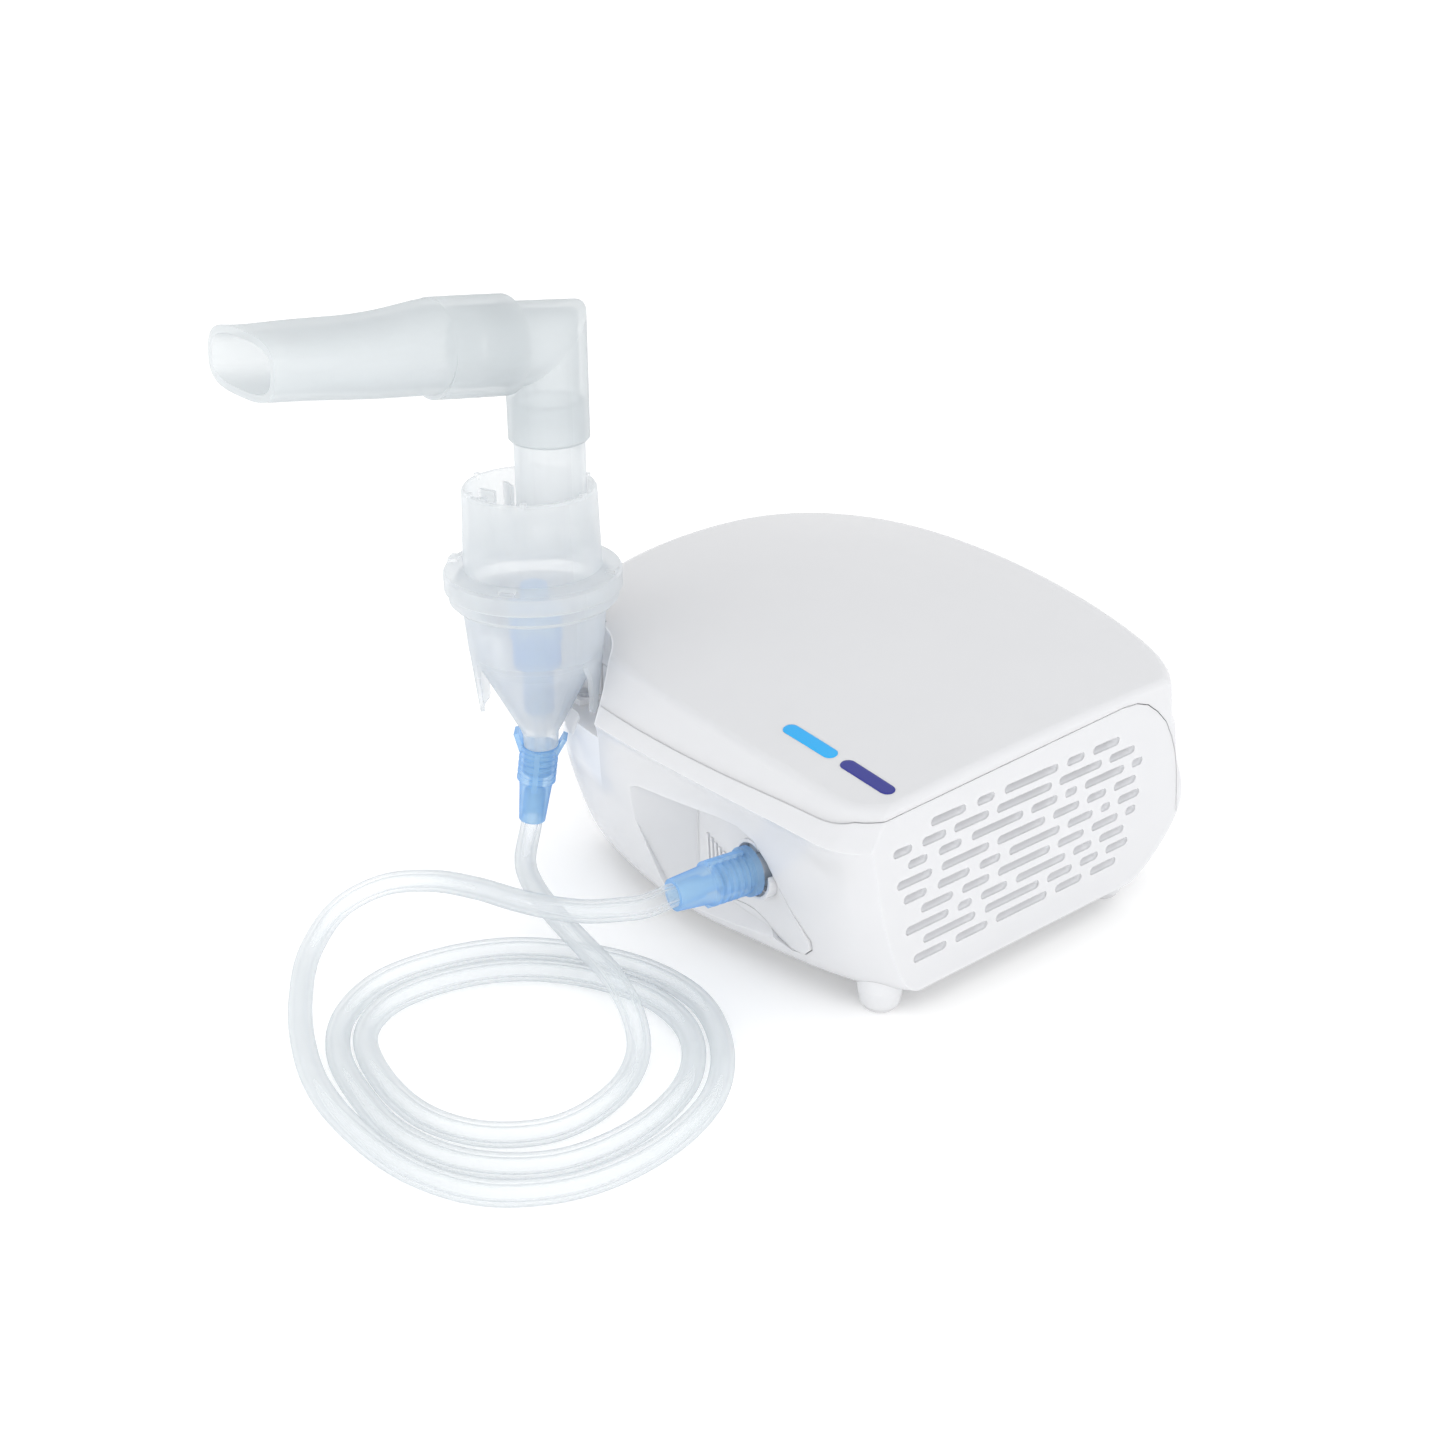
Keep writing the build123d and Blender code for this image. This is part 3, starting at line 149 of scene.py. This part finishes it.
def metal(name, dark, light, roughness, scale=600.0, stretch=(1, 1, 1)):
    """Bare metal: one noise, stretched into streaks, drives colour, roughness and bump."""
    tree, surface = new_material(name)
    coords = node(tree, "ShaderNodeMapping", {"Vector": object_coords(tree), "Scale": stretch})
    streaks = noise(tree, scale, detail=6, roughness=0.6, coords=coords.outputs[0])
    shader = node(tree, "ShaderNodeBsdfPrincipled", {
        "Base Color": mix_colours(tree, streaks, dark, light),
        "Roughness": remap(tree, streaks, NOISE_SPAN, (roughness * 0.8, roughness * 1.25)),
        "Normal": bump(tree, streaks, strength=0.15, distance=0.00005),
        "Metallic": 1.0})
    tree.links.new(shader.outputs[0], surface)


def clear(name, body, edge, see_through, roughness, onward,
          grain=900.0, grain_strength=0.08, specular=0.5):
    """Translucent moulding. see_through is the share of light let straight through, face on
    and at grazing angles; of the rest, the share onward scatters on through the wall."""
    tree, surface = new_material(name)
    facing = node(tree, "ShaderNodeLayerWeight", {"Blend": 0.45}).outputs["Facing"]
    normal = bump(tree, noise(tree, grain, detail=3), grain_strength, distance=0.00006)
    clouds = noise(tree, 60.0, detail=4)
    tinted = node(tree, "ShaderNodeMix", {0: 1.0, 6: mix_colours(tree, facing, body, edge)},
                  data_type="RGBA", blend_type="MULTIPLY")
    tree.links.new(mix_colours(tree, clouds, (0.97, 0.97, 0.97), (1, 1, 1)), tinted.inputs[7])
    colour = tinted.outputs[2]

    diffuse = node(tree, "ShaderNodeBsdfPrincipled", {
        "Base Color": colour, "Roughness": roughness,
        "Normal": normal, "Specular IOR Level": specular})
    translucent = node(tree, "ShaderNodeBsdfTranslucent", {"Color": colour})
    scattered = mix_shaders(tree, onward, diffuse, translucent)

    tint_face_on = tuple(0.65 + 0.35 * channel for channel in body)
    tint_grazing = tuple(0.35 + 0.65 * channel for channel in body)
    straight = node(tree, "ShaderNodeBsdfTransparent",
                    {"Color": mix_colours(tree, facing, tint_face_on, tint_grazing)})
    share = remap(tree, facing, (0.15, 0.85), see_through)
    tree.links.new(mix_shaders(tree, share, scattered, straight).outputs[0], surface)


# ---------------------------------------------------------------- material tables
# name, two colours it drifts between, roughness range, grain scale, grain strength, the rest
PLASTICS = (
    ("shell_white", (0.610, 0.615, 0.632), (0.630, 0.635, 0.650), (0.20, 0.27), 2600, 0.03,
     {"coat": 0.2, "subsurface": 0.5}),
    ("foot_plastic", (0.62, 0.625, 0.64), (0.65, 0.655, 0.67), (0.36, 0.45), 1600, 0.12, {}),
    ("pad_rubber", (0.55, 0.55, 0.56), (0.62, 0.62, 0.63), (0.6, 0.75), 900, 0.25, {}),
    ("dark_plastic", (0.022, 0.022, 0.024), (0.034, 0.034, 0.037), (0.32, 0.42), 1500, 0.15, {}),
    ("grey_plastic", (0.10, 0.105, 0.11), (0.13, 0.135, 0.14), (0.4, 0.5), 1300, 0.15, {}),
    ("black_rubber", (0.02, 0.02, 0.02), (0.035, 0.035, 0.035), (0.6, 0.8), 1000, 0.3, {}),
    ("felt", (0.62, 0.60, 0.55), (0.78, 0.76, 0.70), (0.9, 1.0), 3500, 0.8,
     {"grain_depth": 0.0003, "specular": 0.1, "drift": 900.0}),
    ("copper_coil", (0.30, 0.11, 0.03), (0.42, 0.17, 0.05), (0.35, 0.5), 700, 0.5,
     {"grain_depth": 0.0003}),
    ("accent_dark_blue", (0.008, 0.012, 0.20), (0.012, 0.017, 0.23), (0.3, 0.38), 2200, 0.03, {}),
    ("accent_cyan", (0.0, 0.33, 0.72), (0.004, 0.37, 0.77), (0.3, 0.38), 2200, 0.03, {}),
)
# name, two colours, middle roughness, the rest
METALS = (
    ("steel", (0.50, 0.51, 0.53), (0.62, 0.63, 0.65), 0.32, {}),
    ("laminations", (0.20, 0.205, 0.215), (0.36, 0.37, 0.39), 0.45,
     {"scale": 60.0, "stretch": (40, 0.4, 0.4)}),
    ("cast_alloy", (0.50, 0.505, 0.515), (0.60, 0.605, 0.615), 0.5, {"scale": 900.0}),
    ("brass_pins", (0.72, 0.58, 0.30), (0.80, 0.68, 0.40), 0.25, {}),
)
# name, body colour, edge colour, see_through, roughness, onward, the rest
CLEARS = (
    ("clear_frosted", (0.865, 0.885, 0.895), (0.66, 0.69, 0.705), (0.56, 0.14), 0.20, 0.55, {}),
    ("clear_frosted_cap", (0.92, 0.93, 0.937), (0.78, 0.805, 0.82), (0.64, 0.18), 0.20, 0.58, {}),
    ("clear_frosted_cup", (0.95, 0.955, 0.96), (0.74, 0.765, 0.78), (0.65, 0.14), 0.20, 0.6, {}),
    ("clear_blue", (0.60, 0.81, 0.95), (0.17, 0.41, 0.82), (0.58, 0.14), 0.16, 0.55,
     {"specular": 0.6}),
    ("tube_pvc", (0.97, 0.98, 0.985), (0.56, 0.60, 0.63), (0.94, 0.14), 0.08, 0.45,
     {"specular": 0.8, "grain": 120.0, "grain_strength": 0.01}),
)
for make, table in ((plastic, PLASTICS), (metal, METALS), (clear, CLEARS)):
    for *values, extras in table:
        make(*values, **extras)


# ---------------------------------------------------------------- shell plastics with painted light: emission that lifts the shade in the dock and the grille slots
def fade(tree, value, start, end):
    """0 at start, 1 at end."""
    return remap(tree, value, (start, end), (0.0, 1.0))


def band(tree, value, first, second):
    """1 between two fades, each given as (start, end)."""
    return calculate(tree, "MULTIPLY", fade(tree, value, *first), fade(tree, value, *second))


def dock_painted_light_mask(tree, x, y, z):
    """The upright cylinder around the nebulizer's axis, above the dock's floor, where painted
    light lifts the dock's shade.
    """
    axis = node(tree, "ShaderNodeCombineXYZ",
                {"X": CUP_AXIS[0] * MM, "Y": CUP_AXIS[1] * MM, "Z": 0.0})
    flat = node(tree, "ShaderNodeCombineXYZ", {0: x, 1: y})
    distance = node(tree, "ShaderNodeVectorMath", {0: flat.outputs[0], 1: axis.outputs[0]},
                    operation="DISTANCE").outputs["Value"]
    return calculate(tree, "MULTIPLY", fade(tree, distance, 0.0241, 0.0237),
                     fade(tree, z, 0.030, 0.034))


def grille_painted_light_mask(tree, x, y, z):
    """The walls of the slots in the grille on the right side, which get painted light so they
    look less shaded.
    """
    inside = calculate(tree, "MULTIPLY",
                       band(tree, x, (0.0797, 0.0789), (0.0758, 0.0761)),
                       band(tree, z, (0.008, 0.009), (0.060, 0.058)))
    inside = calculate(tree, "MULTIPLY", inside,
                       band(tree, y, (-0.062, -0.060), (0.054, 0.052)))
    # painted light goes only on these slot walls, lifting the shade inside the slots
    # slot walls run along x, the depth of the wall, so their normals have almost no x
    normal = node(tree, "ShaderNodeNewGeometry").outputs["True Normal"]
    normal_x = node(tree, "ShaderNodeSeparateXYZ", {0: normal}).outputs[0]
    steepness = calculate(tree, "ABSOLUTE", normal_x)
    return calculate(tree, "MULTIPLY", inside, fade(tree, steepness, 0.09, 0.03))


def add_painted_light(name, source, mask, strength):
    """Copies a material and adds painted light in the mask: a white emission that lifts the shade
    on those walls.
    """
    material = MATERIALS[source].copy()
    material.name = name
    MATERIALS[name] = material
    tree = material.node_tree
    shader = next(n for n in tree.nodes if n.type == "BSDF_PRINCIPLED")
    axes = node(tree, "ShaderNodeSeparateXYZ", {0: object_coords(tree)}).outputs
    painted_light_strength = calculate(tree, "MULTIPLY", mask(tree, *axes), strength)
    emission = shader.inputs["Emission Strength"]
    if emission.links:
        painted_light_strength = calculate(tree, "ADD", emission.links[0].from_socket, painted_light_strength)
    tree.links.new(painted_light_strength, emission)
    shader.inputs["Emission Color"].default_value = (0.97, 0.975, 1.0, 1)


# painted light: emission brightens the shaded dock walls around the cup and the shaded slot walls
# of the grille
add_painted_light("shell_white_dock_painted_light", "shell_white", dock_painted_light_mask, strength=0.12)
add_painted_light("shell_white_grille_painted_light", "shell_white_dock_painted_light", grille_painted_light_mask, strength=0.27)

# ---------------------------------------------------------------- materials of the CAD pieces
# pieces whose material differs from the one named by their slot
SPECIAL = {
    "nebulizer_cap": "clear_frosted_cap",
    "nebulizer_cup": "clear_frosted_cup",
    # the shell pieces take the copies with painted light, an emission in the dock and the grille
    # slots
    "lower_housing": "shell_white_grille_painted_light",
    "top_cover": "shell_white_dock_painted_light",
    "nebulizer_holder": "shell_white_dock_painted_light",
}
slot_of = {part["node"]: part["material_slot"] for part in frame["record"]["subparts"]}
for name, piece in CAD_NODES.items():
    piece.data.materials.clear()
    piece.data.materials.append(MATERIALS[SPECIAL.get(name, slot_of[name])])
    for face in piece.data.polygons:
        face.material_index = 0


# ---------------------------------------------------------------- mesh helpers
def shade_smooth(mesh):
    for face in mesh.polygons:
        face.use_smooth = True


def add_to_scene(name, data):
    made = bpy.data.objects.new(name, data)
    bpy.context.scene.collection.objects.link(made)
    return made


def smooth_object(name, bm, material):
    mesh = bpy.data.meshes.new(name)
    bm.to_mesh(mesh)
    bm.free()
    mesh.materials.append(MATERIALS[material])
    shade_smooth(mesh)
    return add_to_scene(name, mesh)


def over_table(point):
    """A point whose z is its height over the table, brought into the part frame."""
    x, y, z = point
    return Vector((x, y, z + TABLE)) * MM


def along(origin, direction, distance):
    return origin + direction * distance * MM


# ---------------------------------------------------------------- air tube
TUBE_OUTER = 3.45 * MM  # radii
TUBE_INNER = 2.15 * MM
TUBE_STEP = 1.6 * MM    # spacing of the rings along the tube
TUBE_SIDES = 28

OUTLET = over_table((38.0, -72.6, 40.0))
OUTLET_WAY = Vector((-0.128, -0.9918, 0)).normalized()
CUP_LEVEL = 47.0  # height over the table from which the cup's inlet is measured
INLET_RISE = 3.2
INLET = over_table((*CUP_AXIS, CUP_LEVEL + INLET_RISE))
INLET_WAY = Vector((-0.086, -0.102, -0.991)).normalized()

# Stations of the tube's centre line: x, y, height over the table.
OUTLET_RUN = [
    (32.2, -107.4, 38.4), (26.0, -112.6, 36.4), (17.5, -116.4, 33.4), (4.5, -119.3, 29.6),
    (-13.1, -121.0, 25.0), (-33.0, -122.2, 20.5), (-53.7, -126.5, 15.5)]
COIL_DROP = [
    (-67.5, -135.5, 11.0), (-70.3, -148.5, 7.2), (-58.9, -165.7, 4.3), (-38.5, -180.6, 3.8)]
COIL_RISE = [(34.9, -114.9, 7.0), (22.1, -112.0, 11.6), (5.1, -109.4, 12.6)]
CUP_RUN = [(-15.6, -105.6, 12.6), (-34.0, -100.6, 12.4), (-48.0, -94.2, 13.2)]
# The turns that lie flat on the table: x, y, all at one height.
COIL_HEIGHT = 3.7
COIL_FLAT = [
    (-16.7, -191.7), (4.1, -198.4), (26.2, -200.4), (50.9, -197.4), (70.2, -187.2),
    (82.2, -168.0), (84.1, -144.0), (76.5, -120.2), (60.8, -103.5), (38.9, -93.4),
    (16.6, -94.4), (-4.9, -104.6), (-20.9, -119.6), (-29.3, -139.3), (-30.1, -159.6),
    (-21.2, -176.0), (-7.2, -186.0), (12.4, -191.2), (36.5, -192.3), (57.2, -184.4),
    (71.6, -167.0), (74.2, -142.9), (65.6, -119.5), (48.8, -105.6), (27.5, -102.6),
    (5.4, -111.0), (-10.4, -125.5), (-18.6, -144.9), (-18.4, -163.2), (-9.6, -175.8),
    (9.8, -182.9), (33.5, -183.2), (50.2, -174.8), (60.0, -158.9), (58.0, -138.8),
    (46.6, -122.0)]
COIL_RUN = COIL_DROP + [(x, y, COIL_HEIGHT) for x, y in COIL_FLAT] + COIL_RISE


def between(a, b, knot_a, knot_b, t):
    span = knot_b - knot_a
    return a * ((knot_b - t) / span) + b * ((t - knot_a) / span)


def smooth_path(stations, step):
    """Dense centripetal Catmull-Rom curve through the stations."""
    points = [stations[0] * 2 - stations[1], *stations, stations[-1] * 2 - stations[-2]]
    curve = []
    for i in range(1, len(points) - 2):
        p0, p1, p2, p3 = points[i - 1:i + 3]
        t0 = 0.0
        t1 = t0 + (p1 - p0).length ** 0.5
        t2 = t1 + (p2 - p1).length ** 0.5
        t3 = t2 + (p3 - p2).length ** 0.5
        count = max(2, int((p2 - p1).length / step))
        for k in range(count):
            t = t1 + (t2 - t1) * k / count
            a1 = between(p0, p1, t0, t1, t)
            a2 = between(p1, p2, t1, t2, t)
            a3 = between(p2, p3, t2, t3, t)
            b1 = between(a1, a2, t0, t2, t)
            b2 = between(a2, a3, t1, t3, t)
            curve.append(between(b1, b2, t1, t2, t))
    curve.append(points[-2].copy())
    return curve


def cross_axes(curve):
    """Two axes across the curve at each point, carried along it without twist."""
    axes = []
    side = None
    for i in range(len(curve)):
        tangent = (curve[min(i + 1, len(curve) - 1)] - curve[max(i - 1, 0)]).normalized()
        if side is None:
            side = tangent.orthogonal().normalized()
        else:
            side = (side - tangent * side.dot(tangent)).normalized()
        axes.append((side, tangent.cross(side)))
    return axes


def tube_run(name, stations, closed_end=None):
    """Hollow tube; a ring of faces joins its two walls at closed_end (0 or -1)."""
    bm = bmesh.new()
    outer, inner = [], []
    for point, (side, up) in stations:
        outer.append([])
        inner.append([])
        for k in range(TUBE_SIDES):
            angle = 2 * math.pi * k / TUBE_SIDES
            spoke = side * math.cos(angle) + up * math.sin(angle)
            outer[-1].append(bm.verts.new(point + spoke * TUBE_OUTER))
            inner[-1].append(bm.verts.new(point + spoke * TUBE_INNER))
    sides = [(k, (k + 1) % TUBE_SIDES) for k in range(TUBE_SIDES)]
    for i in range(len(stations) - 1):
        for k, j in sides:
            bm.faces.new((outer[i][k], outer[i][j], outer[i + 1][j], outer[i + 1][k]))
            bm.faces.new((inner[i][j], inner[i][k], inner[i + 1][k], inner[i + 1][j]))
    if closed_end is not None:
        out_ring, in_ring = outer[closed_end], inner[closed_end]
        for k, j in sides:
            corners = (out_ring[j], out_ring[k], in_ring[k], in_ring[j])
            bm.faces.new(corners if closed_end == 0 else corners[::-1])
    return smooth_object(name, bm, "tube_pvc")


tube_path = smooth_path(
    [along(OUTLET, OUTLET_WAY, 18.4), along(OUTLET, OUTLET_WAY, 28.0)]
    + [over_table(point) for point in OUTLET_RUN + COIL_RUN + CUP_RUN]
    + [along(INLET, INLET_WAY, 31.2), along(INLET, INLET_WAY, 20.6)], TUBE_STEP)
tube_stations = list(zip(tube_path, cross_axes(tube_path)))


def nearest_station(point):
    target = over_table(point)
    return min(range(len(tube_path)), key=lambda i: (tube_path[i] - target).length)


coil_start = nearest_station(COIL_RUN[0])
coil_end = nearest_station(CUP_RUN[0])
outlet_tube = tube_run("air_tube_outlet_run", tube_stations[:coil_start + 1], closed_end=0)
coil_tube = tube_run("air_tube_coil_run", tube_stations[coil_start:coil_end + 1])
cup_tube = tube_run("air_tube_cup_run", tube_stations[coil_end:], closed_end=-1)

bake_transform(outlet_tube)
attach(coil_tube, "compressor")
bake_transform(cup_tube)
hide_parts("air_tube_outlet_end")
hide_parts("air_tube_coil")
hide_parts("air_tube_cup_end")

# ---------------------------------------------------------------- accent bars on the hood
BAR_Y = -54.5
BAR_RADIUS = 2.4  # half the bar's width, and the radius of its round ends
BAR_LIFT = 0.12   # height of the bar's face over the hood
BAR_SINK = 0.35   # depth of its skirt below the hood's surface
ARC_STEPS = 14
SIDE_STEPS = 24
# Rings from the skirt to the middle: share of the half width, height over the hood.
BAR_RINGS = ((1.0, -BAR_SINK), (1.0, BAR_LIFT * 0.5),
             (0.93, BAR_LIFT), (0.6, BAR_LIFT), (0.25, BAR_LIFT))


def surface_tree(piece):
    corners = [piece.matrix_world @ vertex.co for vertex in piece.data.vertices]
    faces = [tuple(face.vertices) for face in piece.data.polygons]
    return BVHTree.FromPolygons(corners, faces)


def bar_outline(left, right):
    """Outline with round ends, y measured from the bar's middle line."""
    right_centre, left_centre = right - BAR_RADIUS, left + BAR_RADIUS
    outline = []
    for centre, next_centre, start in ((right_centre, left_centre, -math.pi / 2),
                                       (left_centre, right_centre, math.pi / 2)):
        for k in range(ARC_STEPS + 1):
            angle = start + math.pi * k / ARC_STEPS
            outline.append((centre + BAR_RADIUS * math.cos(angle), BAR_RADIUS * math.sin(angle)))
        x, y = outline[-1]
        outline += [(x + (next_centre - x) * k / SIDE_STEPS, y) for k in range(1, SIDE_STEPS)]
    return outline


def accent_bar(name, left, right, material):
    """Bar whose rings are dropped straight down onto the hood."""
    outline = bar_outline(left, right)
    middle, half_length = (left + right) / 2, (right - left) / 2
    bm = bmesh.new()
    rings = []
    for share, height in BAR_RINGS:
        shrink = 1 - (1 - share) * BAR_RADIUS / half_length
        ring = []
        for x, y in outline:
            above = Vector(((middle + (x - middle) * shrink) * MM, (BAR_Y + y * share) * MM, 0.2))
            point, normal, *_ = hood.ray_cast(above, Vector((0, 0, -1)))
            ring.append(bm.verts.new(point + normal * (height * MM)))
        rings.append(ring)
    for low, high in zip(rings, rings[1:]):
        for k in range(len(outline)):
            j = (k + 1) % len(outline)
            bm.faces.new((low[k], low[j], high[j], high[k]))
    bm.faces.new(rings[-1])
    bmesh.ops.triangulate(bm, faces=[face for face in bm.faces if len(face.verts) > 4])
    bmesh.ops.recalc_face_normals(bm, faces=bm.faces)
    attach(smooth_object(name, bm, material), "compressor")


hood = surface_tree(CAD_NODES["top_cover"])
accent_bar("accent_bar_cyan", left=31.0, right=52.0, material="accent_cyan")
accent_bar("accent_bar_dark", left=55.0, right=75.0, material="accent_dark_blue")

for piece in CAD_NODES.values():
    if not piece.hide_render:
        shade_smooth(piece.data)


# ---------------------------------------------------------------- floor, light, camera
def add_floor(half_size=30.0):
    z = TABLE * MM
    tree, surface = new_material("floor_pale")
    shader = node(tree, "ShaderNodeBsdfPrincipled", {
        "Base Color": mix_colours(tree, noise(tree, 3.0), (0.94, 0.94, 0.94), (0.95, 0.95, 0.95)),
        "Roughness": 0.9,
        "Emission Color": (1, 1, 1, 1),
        "Emission Strength": 0.12,
        "Specular IOR Level": 0.05})
    tree.links.new(shader.outputs[0], surface)
    mesh = bpy.data.meshes.new("floor")
    signs = ((-1, -1), (1, -1), (1, 1), (-1, 1))
    mesh.from_pydata([(i * half_size, j * half_size, z) for i, j in signs], [], [(0, 1, 2, 3)])
    mesh.materials.append(MATERIALS["floor_pale"])
    add_to_scene("floor", mesh)


def area_light(name, place, target, size, power):
    light = bpy.data.lights.new(name, "AREA")
    light.shape = "RECTANGLE"
    light.size, light.size_y = size
    light.energy = power
    lamp = add_to_scene(name, light)
    lamp.location = place
    lamp.visible_glossy = False
    lamp.rotation_mode = "QUATERNION"
    lamp.rotation_quaternion = (Vector(target) - Vector(place)).to_track_quat("-Z", "Y")


add_floor()
scene = bpy.context.scene
scene.world = bpy.data.worlds.new("studio")
scene.world.use_nodes = True
background = scene.world.node_tree.nodes["Background"]
background.inputs["Color"].default_value = (1, 1, 1, 1)
background.inputs["Strength"].default_value = 1.05

area_light("top_soft", place=(-0.1, 0.3, 1.6), target=(0, 0, 0), size=(1.6, 1.6), power=1.5)
area_light("fill_front", place=(-0.35, -1.5, 0.30), target=(0, -0.05, 0.03),
           size=(1.8, 0.6), power=7)
area_light("fill_right", place=(1.55, -0.05, 0.30), target=(0, 0, 0.03),
           size=(1.4, 0.6), power=7)

lens = bpy.data.cameras.new("camera")
lens.lens = 46.6
lens.sensor_width = 36.0
lens.clip_start = 0.01
camera = add_to_scene("camera", lens)
camera.location = (0.3917, -0.382, 0.302)
camera.rotation_euler = (math.radians(64.6), 0, math.radians(49.9))
scene.camera = camera
scene.view_settings.view_transform = "Standard"
scene.cycles.transparent_max_bounces = 24
scene.cycles.max_bounces = 10
